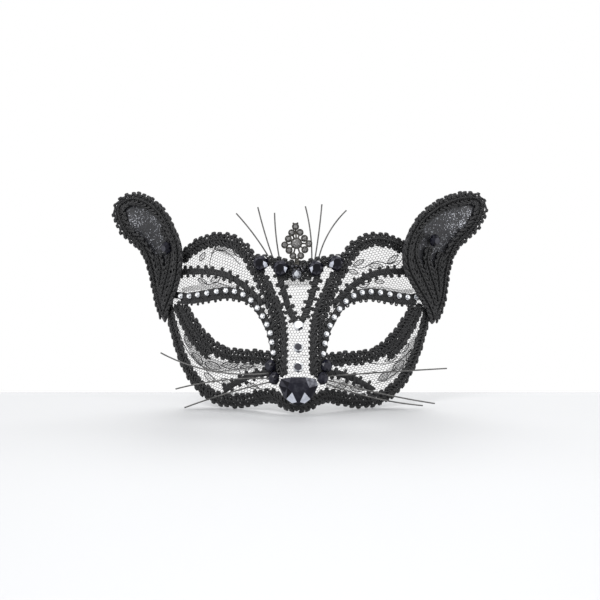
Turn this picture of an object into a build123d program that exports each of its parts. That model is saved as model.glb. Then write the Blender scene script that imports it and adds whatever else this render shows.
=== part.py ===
"""Cat half mask: stiffened lace panels edged with scroll gimp, two cupped ears, glass stones,
a filigree ornament on the forehead and bristle whiskers.

Frame: the wearer looks along -Y, +X is the viewer's right, +Z is up. The mask stands on its
cheeks and nose at Z = 0, and X = 0 is the middle of the nose.
Every layer of the face is a shell between two lifts above one curved face surface.
"""
import os
from math import cos, exp, hypot, pi, sin, sqrt

from build123d import *

os.makedirs("parts", exist_ok=True)

# ---- driving dimensions, mm -------------------------------------------------------------
# Face surface: a round forehead-to-temple curve with a bow in height and a raised nose.
FACE_FRONT = -16.75
FACE_RADIUS = 92.0
FACE_BOW_RADIUS = 250.0
CROWN_HEIGHT = 45.0
NOSE_RISE = 15.0
NOSE_HALF_WIDTH = 15.0
NOSE_TOP = 66.0
NOSE_TIP_HEIGHT = 14.0

# Ear surface: a trough that leaves the temple and turns to face forward.
EAR_PIVOT = 62.0
EAR_STANDOFF = 3.6
EAR_SPLAY_BASE = 1.15
EAR_SPLAY_TOP = 0.5
EAR_BASE_HEIGHT = 58.0
EAR_TOP_HEIGHT = 105.0
EAR_CUP_RADIUS = 52.0

# Layers, as lifts above the surface they follow.
WIRE_BACK = -1.2
LACE_THICKNESS = 0.8
BANDING_FRONT = 2.2
GIMP_FRONT = 3.2

# Widths of the trimmings.
GIMP_WIDTH = 7.6
LID_GIMP_WIDTH = 6.6
LID_ROW_WIDTH = 5.0
BAND_WIDTH = 6.0
BRAID_WIDTH = 3.6
WHISKER_BRAID_WIDTH = 4.2
BANDING_WIDTH = 4.2
WIRE_WIDTH = 1.2
EAR_WIRE_INSET = 3.6

# Stones.
FOREHEAD_GEM = 9.2
NOSE_SIDE_GEM = 7.6
EAR_GEM = 7.4
CENTRE_CRYSTAL = 5.0
BANDING_CRYSTAL = 2.9
BANDING_CRYSTALS_PER_SIDE = 16
SEED_BEAD = 1.5
BEAD = 2.0

# Ornament and whiskers.
ORNAMENT_STONE = 3.1
ORNAMENT_CENTRE_STONE = 5.6
BEZEL_WALL = 0.45
ORNAMENT_THICKNESS = 1.4
WHISKER_DIAMETER = 0.8

# Tie rings.
RING_HOLE_RADIUS = 2.5
RING_WALL = 0.9
RING_THICKNESS = 1.2

REACH = 70.0            # how far an outline is pushed through the layers
SECTION_HEIGHTS = [-4, 6, 14, 24, 34, 45, 56, 67, 80, 93, 106]
SECTION_REACH = [0, 4, 8, 12, 16, 22, 30, 40, 50, 60, 69, 77, 84]
EAR_SECTION_HEIGHTS = [40, 50, 60, 70, 80, 90, 100, 110, 118, 127]
EAR_SECTION_REACH = [50, 60, 70, 80, 90, 100, 110, 118]
SIDES = {"left": -1, "right": 1}

# ---- outlines and routes on the front view, (x, z) for the right-hand side --------------
HALF_FACE = [(0, 79.5), (10, 82.5), (20, 86), (27, 90.5), (35, 96), (44.5, 97.8), (54, 95.5),
             (62, 90), (69, 80), (74.5, 65), (76, 50), (72.5, 36), (69, 25), (63.5, 15),
             (54, 7), (44, 2), (33, 1.6), (22, 4.5), (13.5, 7), (6, 3.4), (0, 2.2)]
CENTRE_EDGE = [(7, 3.6), (9, 12), (9.5, 24), (10, 43), (12, 55), (17, 67), (22.5, 79), (25, 89)]
EYE_UPPER = [(66, 57.6), (53, 61.4), (42, 63.8), (32, 63.4), (24, 58.8), (18, 50.2), (14.4, 40),
             (13.2, 31)]
EYE_LOWER = [(13.2, 31), (24, 30.6), (40, 31), (52, 38.6), (60, 48.4), (66, 57.6)]

BROW_ROUTE = [(67.5, 83.8), (62, 89), (55, 93.2), (45, 95.6), (36.5, 94), (30.5, 89.5),
              (25, 82), (20, 73), (15, 63.5), (11.5, 54), (10, 43), (9.8, 32), (9.5, 20)]
CHEEK_ROUTE = [(76, 58), (73.8, 47), (70.5, 36), (67, 26.5), (62, 17.5), (55, 9.8),
               (47.5, 5.4), (39, 3.9), (30, 4.6), (22, 6.8), (14.5, 8.6), (7.5, 5.8), (0, 3.9)]
UPPER_LID_ROUTE = [(68, 58.9), (60, 59.7), (52, 61.2), (44.5, 62.8), (38.5, 63.3), (32.5, 62.3),
                   (26, 60), (20.6, 54.3), (17, 48.2), (14.9, 42), (13.8, 35)]
CRYSTAL_ROUTE = [(73, 62.6), (64.9, 61.9), (55.5, 63.6), (44.5, 65.8), (38, 66.1), (32, 64.7),
                 (26, 60.6), (21.2, 54.3), (18, 48.6), (15.6, 43.3), (13.6, 32.4)]
LOWER_LID_ROUTE = [(67, 56), (62.5, 49), (58, 42.8), (52.5, 37), (46, 32), (39.5, 29.6),
                   (31.5, 29), (22.5, 29), (15, 28.4)]
LID_ROW_ROUTE = [(71.6, 57), (67.6, 48), (63.3, 40.4), (58.3, 33.8), (52, 28.4)]
MID_BROW_ROUTE = [(68.5, 76.6), (64, 77.3), (56.4, 77.7), (49, 77.6), (41.9, 76.3),
                  (35.7, 73.6), (29.5, 69.4), (24.3, 64.5), (19.9, 60.3)]
FOREHEAD_ROUTE = [(11, 78), (9.2, 71), (7.2, 64), (5, 57), (1.6, 50.8)]
WHISKER_BRAID_ROUTE = [(13.8, 22.2), (24.3, 20.5), (34.9, 15.5), (42.1, 10.6)]
BAND_ROUTE = [(-24, 84.6), (-16, 84), (-8, 82.2), (0, 80), (8, 82.2), (16, 84), (24, 84.6)]

# The two ears are cut and wired by hand, so each has its own outline.
EAR_OUTLINES = {
    "left": [(78, 46), (73, 58), (68.5, 69), (66.2, 80), (66, 91), (69, 100), (76, 111.8),
             (86, 119.6), (97, 122.8), (107.8, 119.6), (112, 112), (105, 99), (93, 89),
             (88.6, 78), (86.2, 65), (83, 53.5)],
    "right": [(78, 45), (72.5, 56), (64.8, 68.4), (59.6, 78), (58.2, 88), (61, 98.6), (68, 109),
              (80, 117.6), (95, 122.6), (108, 122.2), (112, 115.6), (106, 102), (93.6, 90),
              (89.4, 78), (87.8, 63), (84.6, 52.5)],
}
EAR_RIM_INNER = {
    "left": [(79.6, 62), (75.3, 71), (73.4, 81), (73.2, 90), (75.5, 97), (81.5, 107), (89.5, 113),
             (97, 115.6), (103, 114), (103.6, 111), (98, 103), (87, 93.5), (81.8, 80), (81, 68)],
    "right": [(79, 60), (71.4, 72), (66.4, 80), (65.4, 87.6), (67.6, 95.5), (73, 104),
              (83.2, 111.2), (96, 116), (105, 117.4), (105, 114), (100, 105.5), (88, 94),
              (84.6, 79.5), (82.6, 66)],
}
EAR_WINDOWS = {
    "left": [(79.6, 79.5), (77, 85), (75.8, 91), (78.4, 99.5), (84, 107.4), (91, 111.6), (98, 113.4),
             (100.6, 110.6), (93.6, 101.4), (85.2, 94)],
    "right": [(82.6, 80), (79.6, 86.4), (76.2, 94.4), (77.6, 102), (85, 108.6), (94, 112.6),
              (102.4, 114.8), (100.4, 109), (92.4, 99.6), (85.4, 92.4)],
}
EAR_GEM_PLACES = {"left": (75.6, 91), "right": (78, 95.3)}

FOREHEAD_GEM_PLACES = {"outer": (20.8, 83), "inner": (9.7, 80.2)}
NOSE_SIDE_GEM_PLACES = [(15, 26.2), (12.8, 19.6)]
BRIDGE_CRYSTALS = [(48.2, 6.8), (36.4, 6.0), (26, 6.0)]           # (height, diameter)
NOSE_GEM_HEIGHT = 12.4
NOSE_GEM_GIRDLE = [(-9.6, 6.2), (-4, 7), (4, 7), (9.6, 6.2), (10.3, 3.2), (7.6, -2.8),
                   (3.4, -6.6), (0, -7.4), (-3.4, -6.6), (-7.6, -2.8), (-10.3, 3.2)]
NOSE_GEM_TABLE = [(-4.6, 5), (4.6, 5), (6, 2.4), (3.2, -0.8), (-3.2, -0.8), (-6, 2.4)]
NOSE_GEM_DEPTH = 5.0

ORNAMENT_STONES = [(-1.6, 103.4), (-3.7, 100), (0.9, 100.2), (-5.6, 96.6), (3.4, 96.9),
                   (-7.6, 93.2), (5.8, 93.9), (-5.2, 90.2), (3.6, 90.6), (-3, 87.1), (1.3, 87.2)]
ORNAMENT_CENTRE = (-1.1, 94.2)
ORNAMENT_LIFT = 1.4

# Whiskers as root, middle and tip: (x, y, z) for each side.
FOREHEAD_WHISKERS = {
    "left": [((-17, -12.65, 87), (-25.8, -10.25, 99.9), (-35, -8.25, 110.8)),
             ((-14.3, -13.05, 86), (-18.9, -10.65, 99.9), (-22.8, -8.85, 114.3)),
             ((-10.6, -13.45, 85.4), (-12.6, -10.85, 98.7), (-13.4, -9.05, 111.1))],
    "right": [((7.5, -13.65, 84.6), (6.6, -11.05, 101.1), (3.9, -9.25, 114.8)),
              ((9.2, -13.55, 84.9), (11.3, -10.85, 98.7), (13.2, -9.05, 115.9)),
              ((11.3, -13.25, 85.4), (17.8, -10.45, 101.1), (27, -8.45, 112.5))],
}
CHEEK_WHISKERS = {
    "left": [((-16.5, -22.85, 22), (-47, -17.25, 22.4), (-78, -8.25, 32)),
             ((-16, -23.25, 19.2), (-42, -18.25, 17.6), (-69.4, -10.85, 11.7)),
             ((-15.6, -23.25, 17.2), (-39, -18.65, 10.5), (-64.3, -11.85, 1.2))],
    "right": [((16.5, -22.85, 20.4), (50, -16.65, 22), (84.2, -7.25, 23)),
              ((16, -23.25, 18.4), (44, -18.25, 10.6), (77.3, -8.85, 3.2)),
              ((15.6, -23.25, 16.2), (40, -18.65, 8.2), (70.4, -10.25, 2.2))],
}

RING_PLACE = (76.4, 64)


# ---- the two surfaces -------------------------------------------------------------------
def ease(t):
    """Smooth step from 0 to 1."""
    t = min(max(t, 0.0), 1.0)
    return t * t * (3 - 2 * t)


def face_depth(x, z):
    """Y of the face surface at a place on the front view."""
    curve = FACE_RADIUS - sqrt(FACE_RADIUS**2 - x**2)
    bow = (z - CROWN_HEIGHT) ** 2 / (2 * FACE_BOW_RADIUS)
    fade = ease((NOSE_TOP - z) / (NOSE_TOP - NOSE_TIP_HEIGHT))
    nose = NOSE_RISE * exp(-((x / NOSE_HALF_WIDTH) ** 2)) * fade
    return FACE_FRONT + curve + bow - nose


def ear_spine(z):
    """X of the middle of the ear's trough."""
    return 77 + 22 * ease((z - 52) / 74)


def ear_depth(x, z):
    """Y of the ear surface, the same for both ears: x is measured outwards."""
    turn = ease((z - EAR_BASE_HEIGHT) / (EAR_TOP_HEIGHT - EAR_BASE_HEIGHT))
    splay = EAR_SPLAY_BASE + (EAR_SPLAY_TOP - EAR_SPLAY_BASE) * turn
    cup = (x - ear_spine(z)) ** 2 / (2 * EAR_CUP_RADIUS)
    return face_depth(EAR_PIVOT, z) - EAR_STANDOFF + splay * (x - EAR_PIVOT) - cup


def slopes(depth, x, z, step=0.2):
    """Slope of a surface along x and along z."""
    along_x = (depth(x + step, z) - depth(x - step, z)) / (2 * step)
    along_z = (depth(x, z + step) - depth(x, z - step)) / (2 * step)
    return along_x, along_z


def lifted(depth, x, z, lift):
    """Y of a layer that lies lift in front of a surface, measured square to it."""
    along_x, along_z = slopes(depth, x, z)
    return depth(x, z) - lift * sqrt(1 + along_x**2 + along_z**2)


def seat(depth, side, place, lift):
    """Plane that lies on a surface, with its Z axis out of the front."""
    x, z = place
    along_x, along_z = slopes(depth, x, z)
    return Plane(
        origin=(side * x, lifted(depth, x, z, lift), z),
        x_dir=(1, side * along_x, 0),
        z_dir=(side * along_x, -1, along_z),
    )


def layer(depth, side, heights, reaches, back, front):
    """Shell between two lifts, lofted through level sections."""
    with BuildPart() as shell:
        for height in heights:
            with BuildSketch(Plane.XY.offset(height)):
                with BuildLine():
                    ends = []
                    for lift in (back, front):
                        edge = Spline(
                            *[(side * x, lifted(depth, abs(x), height, lift)) for x in reaches]
                        )
                        ends.append((edge @ 0, edge @ 1))
                    Line(ends[0][0], ends[1][0])
                    Line(ends[0][1], ends[1][1])
                make_face()
        loft()
    return shell.part


def face_layer(back, front):
    across = [-x for x in reversed(SECTION_REACH[1:])] + SECTION_REACH
    return layer(face_depth, 1, SECTION_HEIGHTS, across, back, front)


def ear_layer(side, back, front):
    return layer(ear_depth, side, EAR_SECTION_HEIGHTS, EAR_SECTION_REACH, back, front)


def turned(points, side):
    return [(side * x, z) for x, z in points]


def inset(outline, amount):
    """Outline moved inwards, each point square to the line through its neighbours."""
    moved = []
    for i, (x, z) in enumerate(outline):
        before = outline[i - 1]
        after = outline[(i + 1) % len(outline)]
        run, rise = after[0] - before[0], after[1] - before[1]
        length = hypot(run, rise)
        moved.append((x + amount * rise / length, z - amount * run / length))
    return moved


def save(piece, label):
    piece.part.label = label
    export_step(piece.part, f"parts/{label}.step")


def braid(label, side, route, width, shell):
    """A flat trimming of one width, laid along a route and moulded to its shell."""
    with BuildPart() as piece:
        with BuildSketch(Plane.XZ):
            with BuildLine():
                Spline(*turned(route, side))
            trace(line_width=width)
        extrude(amount=REACH, both=True)
        add(shell, mode=Mode.INTERSECT)
    save(piece, label)


# ---- stones -----------------------------------------------------------------------------
def ring(radius, height, count, turn=0.0):
    step = 2 * pi / count
    return [
        (radius * cos((i + turn) * step), radius * sin((i + turn) * step), height)
        for i in range(count)
    ]


def cut_stone(diameter, depth, count):
    """Corner points of a flat-backed cut stone: back, girdle, crown and table."""
    radius = diameter / 2
    return (
        ring(0.94 * radius, 0, count)
        + ring(radius, 0.28 * depth, count)
        + ring(0.82 * radius, 0.7 * depth, count, 0.5)
        + ring(0.5 * radius, depth, count)
    )


def small_stone(diameter, depth, count):
    """Corner points of a small foiled crystal: girdle and table only."""
    radius = diameter / 2
    return (
        ring(radius, 0, count)
        + ring(radius, 0.3 * depth, count)
        + ring(0.5 * radius, depth, count)
    )


def stones(label, seats, corners):
    """Cut stones with their backs on the given planes, all in one node."""
    with BuildPart() as piece:
        for plane in seats:
            with Locations(plane.location):
                ConvexPolyhedron(corners)
    save(piece, label)


# ---- shells that the pieces are cut from ------------------------------------------------
wire_shell = face_layer(WIRE_BACK, 0)
lace_shell = face_layer(0, LACE_THICKNESS)
banding_shell = face_layer(LACE_THICKNESS, BANDING_FRONT)
gimp_shell = face_layer(LACE_THICKNESS, GIMP_FRONT)

# ---- lace panels: one down the middle, one each side with its eye opening ---------------
with BuildPart() as lace_centre:
    with BuildSketch(Plane.XZ):
        with BuildLine():
            right_edge = Spline(*CENTRE_EDGE)
            left_edge = Spline(*turned(CENTRE_EDGE, -1))
            Spline((-7, 3.6), (0, 2.2), (7, 3.6))
            Spline(left_edge @ 1, (-10, 82.5), (0, 79.5), (10, 82.5), right_edge @ 1)
        make_face()
    extrude(amount=REACH, both=True)
    add(lace_shell, mode=Mode.INTERSECT)
save(lace_centre, "lace_centre")

for name, side in SIDES.items():
    with BuildPart() as lace_side:
        with BuildSketch(Plane.XZ):
            with BuildLine():
                Spline(*turned(HALF_FACE, side))
                Line((0, HALF_FACE[-1][1]), (0, HALF_FACE[0][1]))
            make_face()
            with BuildLine():
                Spline(*turned(CENTRE_EDGE, side))
                Line((side * 25, 89), (0, 100))
                Line((0, 100), (0, 0))
                Line((0, 0), (side * 7, 3.6))
            make_face(mode=Mode.SUBTRACT)
            with BuildLine():
                Spline(*turned(EYE_UPPER, side))
                Spline(*turned(EYE_LOWER, side))
            make_face(mode=Mode.SUBTRACT)
        extrude(amount=REACH, both=True)
        add(lace_shell, mode=Mode.INTERSECT)
    save(lace_side, f"lace_{name}")

# ---- trimmings and wires of the face ----------------------------------------------------
for name, side in SIDES.items():
    braid(f"brow_gimp_{name}", side, BROW_ROUTE, GIMP_WIDTH, gimp_shell)
    braid(f"cheek_gimp_{name}", side, CHEEK_ROUTE, GIMP_WIDTH, gimp_shell)
    braid(f"lower_lid_gimp_{name}", side, LOWER_LID_ROUTE, LID_GIMP_WIDTH, gimp_shell)
    braid(f"lid_row_gimp_{name}", side, LID_ROW_ROUTE, LID_ROW_WIDTH, gimp_shell)
    braid(f"upper_lid_braid_{name}", side, UPPER_LID_ROUTE, BRAID_WIDTH, banding_shell)
    braid(f"mid_brow_braid_{name}", side, MID_BROW_ROUTE, BRAID_WIDTH, banding_shell)
    braid(f"forehead_braid_{name}", side, FOREHEAD_ROUTE, BRAID_WIDTH, banding_shell)
    braid(f"whisker_braid_{name}", side, WHISKER_BRAID_ROUTE, WHISKER_BRAID_WIDTH, banding_shell)
    braid(f"crystal_banding_{name}", side, CRYSTAL_ROUTE, BANDING_WIDTH, banding_shell)
    with BuildPart() as frame_wire:
        for route in (CHEEK_ROUTE, BROW_ROUTE, LOWER_LID_ROUTE):
            with BuildSketch(Plane.XZ):
                with BuildLine():
                    Spline(*turned(route, side))
                trace(line_width=WIRE_WIDTH)
            extrude(amount=REACH, both=True)
        add(wire_shell, mode=Mode.INTERSECT)
    save(frame_wire, f"frame_wire_{name}")
braid("forehead_band", 1, BAND_ROUTE, BAND_WIDTH, gimp_shell)

# ---- ears: backing, glitter net, rim gimp, inner gimp, wire and stone -------------------
for name, side in SIDES.items():
    shells = {
        "ear_wire": ear_layer(side, WIRE_BACK, 0),
        "ear_backing": ear_layer(side, 0, LACE_THICKNESS),
        "ear_net": ear_layer(side, LACE_THICKNESS, 2 * LACE_THICKNESS),
        "ear_gimp": ear_layer(side, 2 * LACE_THICKNESS, GIMP_FRONT),
    }
    middle = inset(EAR_OUTLINES[name], EAR_WIRE_INSET)
    braid(f"ear_wire_{name}", side, middle[1:], WIRE_WIDTH, shells["ear_wire"])
    for label, outline in (("ear_backing", EAR_OUTLINES[name]), ("ear_net", middle)):
        with BuildPart() as ear_sheet:
            with BuildSketch(Plane.XZ):
                with BuildLine():
                    ear_edge = Spline(*turned(outline, side))
                    Line(ear_edge @ 1, ear_edge @ 0)
                make_face()
            extrude(amount=REACH, both=True)
            add(shells[label], mode=Mode.INTERSECT)
        save(ear_sheet, f"{label}_{name}")
    with BuildPart() as ear_rim_gimp:
        with BuildSketch(Plane.XZ):
            with BuildLine():
                ear_edge = Spline(*turned(EAR_OUTLINES[name], side))
                Line(ear_edge @ 1, ear_edge @ 0)
            make_face()
            with BuildLine():
                Spline(*turned(EAR_RIM_INNER[name], side), periodic=True)
            make_face(mode=Mode.SUBTRACT)
        extrude(amount=REACH, both=True)
        add(shells["ear_gimp"], mode=Mode.INTERSECT)
    save(ear_rim_gimp, f"ear_rim_gimp_{name}")
    with BuildPart() as ear_inner_gimp:
        with BuildSketch(Plane.XZ):
            with BuildLine():
                Spline(*turned(EAR_RIM_INNER[name], side), periodic=True)
            make_face()
            with BuildLine():
                Spline(*turned(EAR_WINDOWS[name], side), periodic=True)
            make_face(mode=Mode.SUBTRACT)
        extrude(amount=REACH, both=True)
        add(shells["ear_gimp"], mode=Mode.INTERSECT)
    save(ear_inner_gimp, f"ear_inner_gimp_{name}")
    gem_seat = seat(ear_depth, side, EAR_GEM_PLACES[name], GIMP_FRONT)
    stones(f"ear_gem_{name}", [gem_seat], cut_stone(EAR_GEM, 3.2, 10))

# ---- stones of the face -----------------------------------------------------------------
for name, side in SIDES.items():
    for row, place in FOREHEAD_GEM_PLACES.items():
        gem_seat = seat(face_depth, side, place, GIMP_FRONT)
        stones(f"forehead_gem_{row}_{name}", [gem_seat], cut_stone(FOREHEAD_GEM, 4.0, 8))
    seats = [seat(face_depth, side, place, GIMP_FRONT) for place in NOSE_SIDE_GEM_PLACES]
    stones(f"nose_side_gems_{name}", seats, cut_stone(NOSE_SIDE_GEM, 3.4, 8))
    route = Spline(*CRYSTAL_ROUTE)
    stops = [i / (BANDING_CRYSTALS_PER_SIDE - 1) for i in range(BANDING_CRYSTALS_PER_SIDE)]
    places = [((route @ stop).X, (route @ stop).Y) for stop in stops]
    seats = [seat(face_depth, side, place, BANDING_FRONT) for place in places]
    stones(f"banding_crystals_{name}", seats, small_stone(BANDING_CRYSTAL, 1.6, 8))

with BuildPart() as bridge_crystals:
    for height, diameter in BRIDGE_CRYSTALS:
        with Locations(seat(face_depth, 1, (0, height), LACE_THICKNESS).location):
            ConvexPolyhedron(cut_stone(diameter, 2.8, 8))
save(bridge_crystals, "bridge_crystals")

stones(
    "centre_crystal",
    [seat(face_depth, 1, (-1, 76.4), GIMP_FRONT)],
    cut_stone(CENTRE_CRYSTAL, 2.6, 8),
)

with BuildPart() as nose_gem:
    nose_seat = seat(face_depth, 1, (0, NOSE_GEM_HEIGHT), GIMP_FRONT)
    upright = Plane(origin=nose_seat.origin, x_dir=(1, 0, 0), z_dir=(0, -1, 0))
    corners = [(0.92 * x, 0.92 * z, 0) for x, z in NOSE_GEM_GIRDLE]
    corners += [(x, z, 0.3 * NOSE_GEM_DEPTH) for x, z in NOSE_GEM_GIRDLE]
    corners += [(x, z, NOSE_GEM_DEPTH) for x, z in NOSE_GEM_TABLE]
    with Locations(upright.location):
        ConvexPolyhedron(corners)
save(nose_gem, "nose_gem")

# ---- bead cluster above the centre crystal, and seed beads by the nose ------------------
with BuildPart() as bead_cluster:
    for x, z in [(-3.4, 81.2), (-1.1, 81.6), (1.2, 81.4), (3.4, 80.8), (-2.2, 79.4), (0.1, 79.6),
                 (2.4, 79.2)]:
        with Locations(seat(face_depth, 1, (x, z), GIMP_FRONT + 0.8).location):
            Sphere(radius=BEAD / 2)
save(bead_cluster, "bead_cluster")

with BuildPart() as seed_beads:
    for side in SIDES.values():
        with Locations(seat(face_depth, side, (9.3, 19.9), GIMP_FRONT + 0.5).location):
            Sphere(radius=SEED_BEAD / 2)
save(seed_beads, "seed_beads")

# ---- filigree ornament: bezel cups and bars in one upright plane ------------------------
ornament_y = lifted(face_depth, 0, 84, GIMP_FRONT) + ORNAMENT_LIFT
ornament_back = Plane(origin=(0, ornament_y, 0), x_dir=(1, 0, 0), z_dir=(0, -1, 0))
ornament_front = ornament_back.offset(ORNAMENT_THICKNESS)
cup_radius = ORNAMENT_STONE / 2 + BEZEL_WALL
centre_cup_radius = ORNAMENT_CENTRE_STONE / 2 + BEZEL_WALL

with BuildPart() as ornament_frame:
    with BuildSketch(ornament_back):
        with Locations(*ORNAMENT_STONES):
            Circle(cup_radius)
        with Locations(ORNAMENT_CENTRE):
            Circle(centre_cup_radius)
        for stone in ORNAMENT_STONES:
            with BuildLine():
                Line(ORNAMENT_CENTRE, stone)
            trace(line_width=0.9)
        with Locations((-0.9, 83)):
            Rectangle(2.4, 6)
    extrude(amount=ORNAMENT_THICKNESS)
    with BuildSketch(ornament_front):
        with Locations(*ORNAMENT_STONES):
            Circle(ORNAMENT_STONE / 2)
        with Locations(ORNAMENT_CENTRE):
            Circle(ORNAMENT_CENTRE_STONE / 2)
    extrude(amount=-ORNAMENT_THICKNESS / 2, mode=Mode.SUBTRACT)
    with BuildSketch(ornament_back):
        with Locations((-2.8, 105.2), (-0.5, 105.3)):
            Circle(0.55)
    extrude(amount=ORNAMENT_THICKNESS)
save(ornament_frame, "ornament_frame")

cup_floor = ornament_back.offset(ORNAMENT_THICKNESS / 2)
with BuildPart() as ornament_crystals:
    for x, z in ORNAMENT_STONES:
        with Locations(cup_floor.location * Pos(x, z, 0)):
            ConvexPolyhedron(small_stone(ORNAMENT_STONE - 0.1, 1.2, 8))
save(ornament_crystals, "ornament_crystals")

with BuildPart() as ornament_centre_stone:
    with Locations(cup_floor.location * Pos(*ORNAMENT_CENTRE, 0)):
        ConvexPolyhedron(cut_stone(ORNAMENT_CENTRE_STONE - 0.1, 2.0, 10))
save(ornament_centre_stone, "ornament_centre_stone")

# ---- whiskers: stiff bristles, each a gentle arc -----------------------------------------
for label, bristles in (("forehead", FOREHEAD_WHISKERS), ("cheek", CHEEK_WHISKERS)):
    for name, arcs in bristles.items():
        with BuildPart() as whiskers:
            for points in arcs:
                with BuildLine():
                    bristle = ThreePointArc(*points)
                with BuildSketch(Plane(origin=bristle @ 0, z_dir=bristle % 0)):
                    Circle(WHISKER_DIAMETER / 2)
                sweep(path=bristle)
        save(whiskers, f"{label}_whiskers_{name}")

# ---- tie rings behind the temples -------------------------------------------------------
for name, side in SIDES.items():
    ring_seat = seat(face_depth, side, RING_PLACE, -RING_THICKNESS)
    with BuildPart() as tie_ring:
        with BuildSketch(ring_seat):
            Circle(RING_HOLE_RADIUS + RING_WALL)
            Circle(RING_HOLE_RADIUS, mode=Mode.SUBTRACT)
        extrude(amount=RING_THICKNESS)
    save(tie_ring, f"tie_ring_{name}")
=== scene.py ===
from math import asin, ceil, cos, exp, hypot, pi, radians, sin, sqrt

import bmesh
import bpy
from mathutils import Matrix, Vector
from mathutils.geometry import delaunay_2d_cdt


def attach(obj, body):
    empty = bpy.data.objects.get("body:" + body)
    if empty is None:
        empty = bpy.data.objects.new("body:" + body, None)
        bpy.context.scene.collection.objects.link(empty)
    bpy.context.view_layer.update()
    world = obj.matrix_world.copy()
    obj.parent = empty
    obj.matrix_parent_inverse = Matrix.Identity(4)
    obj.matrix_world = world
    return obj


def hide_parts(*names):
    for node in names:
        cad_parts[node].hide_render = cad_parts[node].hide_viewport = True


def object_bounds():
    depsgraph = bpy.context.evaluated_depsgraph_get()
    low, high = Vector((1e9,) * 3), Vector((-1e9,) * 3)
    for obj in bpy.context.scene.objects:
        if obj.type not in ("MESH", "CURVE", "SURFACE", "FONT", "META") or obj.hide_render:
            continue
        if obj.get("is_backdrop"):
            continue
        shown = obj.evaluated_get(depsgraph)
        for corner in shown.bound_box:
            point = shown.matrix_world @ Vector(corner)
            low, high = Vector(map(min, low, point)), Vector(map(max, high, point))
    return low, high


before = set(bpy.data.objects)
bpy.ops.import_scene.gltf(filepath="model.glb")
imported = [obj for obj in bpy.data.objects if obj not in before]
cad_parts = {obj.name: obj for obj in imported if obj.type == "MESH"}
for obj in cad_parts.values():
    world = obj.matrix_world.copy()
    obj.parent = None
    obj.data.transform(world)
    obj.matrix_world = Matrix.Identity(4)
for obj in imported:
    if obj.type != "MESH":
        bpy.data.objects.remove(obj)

cad_low, cad_high = (tuple(corner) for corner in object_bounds())
scene = bpy.context.scene
MM = 0.001

# ---- camera, studio light and floor -----------------------------------------------------
# A long lens a few degrees above the table, a white cove all round, one large soft light
# high on the left, a weaker one on the right, a low strip in front and a light behind.
CAMERA_DISTANCE = 822 * MM
CAMERA_RISE = radians(3.6)
AIM = Vector((0.9 * MM, 13.25 * MM, 60.6 * MM))

camera_data = bpy.data.cameras.new("studio_camera")
camera_data.lens = 85
camera_data.sensor_width = 36
camera = bpy.data.objects.new("studio_camera", camera_data)
away = Vector((0, -cos(CAMERA_RISE), sin(CAMERA_RISE)))
camera.location = AIM + away * CAMERA_DISTANCE
camera.rotation_mode = "QUATERNION"
camera.rotation_quaternion = away.to_track_quat("Z", "Y")
scene.collection.objects.link(camera)
scene.camera = camera


def area_light(name, place, target, width, height, watts):
    data = bpy.data.lights.new(name, "AREA")
    data.shape = "RECTANGLE"
    data.size = width
    data.size_y = height
    data.energy = watts
    lamp = bpy.data.objects.new(name, data)
    lamp.location = place
    lamp.rotation_mode = "QUATERNION"
    lamp.rotation_quaternion = (Vector(target) - Vector(place)).to_track_quat("-Z", "Y")
    scene.collection.objects.link(lamp)


MASK_MIDDLE = (0, 0, 0.06)
area_light("key_light", (-0.5, -0.75, 0.85), MASK_MIDDLE, width=0.5, height=0.5, watts=9)
area_light("fill_light", (0.75, -0.6, 0.45), MASK_MIDDLE, width=0.35, height=0.6, watts=3)
area_light("front_strip", (0.12, -0.9, -0.02), (0, 0, 0.05), width=0.16, height=0.5, watts=1.2)
area_light("back_light", (0.1, 0.8, 0.7), MASK_MIDDLE, width=0.8, height=0.4, watts=5)

world = bpy.data.worlds.new("white_cove")
world.use_nodes = True
world.node_tree.nodes["Background"].inputs["Color"].default_value = (1, 1, 1, 1)
world.node_tree.nodes["Background"].inputs["Strength"].default_value = 1.0
scene.world = world
scene.view_settings.view_transform = "Standard"


def plain_material(name, colour, roughness):
    material = bpy.data.materials.new(name)
    material.use_nodes = True
    shader = material.node_tree.nodes["Principled BSDF"]
    shader.inputs["Base Color"].default_value = (*colour, 1)
    shader.inputs["Roughness"].default_value = roughness
    return material


def mesh_object(name, points, faces, material, edges=()):
    mesh = bpy.data.meshes.new(name)
    mesh.from_pydata([tuple(p) for p in points], list(edges), faces)
    mesh.update()
    piece = bpy.data.objects.new(name, mesh)
    scene.collection.objects.link(piece)
    if material:
        mesh.materials.append(material)
    return piece


def settle(piece, slot, *replaced):
    """A piece rides on the mask's one body and may stand for CAD nodes. Its slot is not used."""
    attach(piece, "root")
    if replaced:
        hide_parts(*replaced)


left, right, front, back = (-0.62, 0.62, -0.5, 0.066)
floor_top = mesh_object(
    "table_top",
    [(left, front, 0), (right, front, 0), (right, back, 0), (left, back, 0)],
    [(0, 1, 2, 3)],
    plain_material("white_table", (0.47, 0.475, 0.485), 0.6),
)
floor_top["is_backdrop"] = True

# ---- lace panels ------------------------------------------------------------------------
# Hexagonal tulle of fine black thread, stiffened and moulded over a face form: a coarse net
# strip down the nose and forehead, and a fine panel each side with its eye cut out.
FACE_FRONT = -16.75
FACE_RADIUS = 92.0
FACE_BOW_RADIUS = 250.0
CROWN_HEIGHT = 45.0
NOSE_RISE = 15.0
NOSE_HALF_WIDTH = 15.0
NOSE_TOP = 66.0
NOSE_TIP_HEIGHT = 14.0
SIDES = {"left": -1, "right": 1}
LACE_LIFT = 0.4
GIMP_BACK = 0.8
SLOPE_STEP = 0.2

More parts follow.
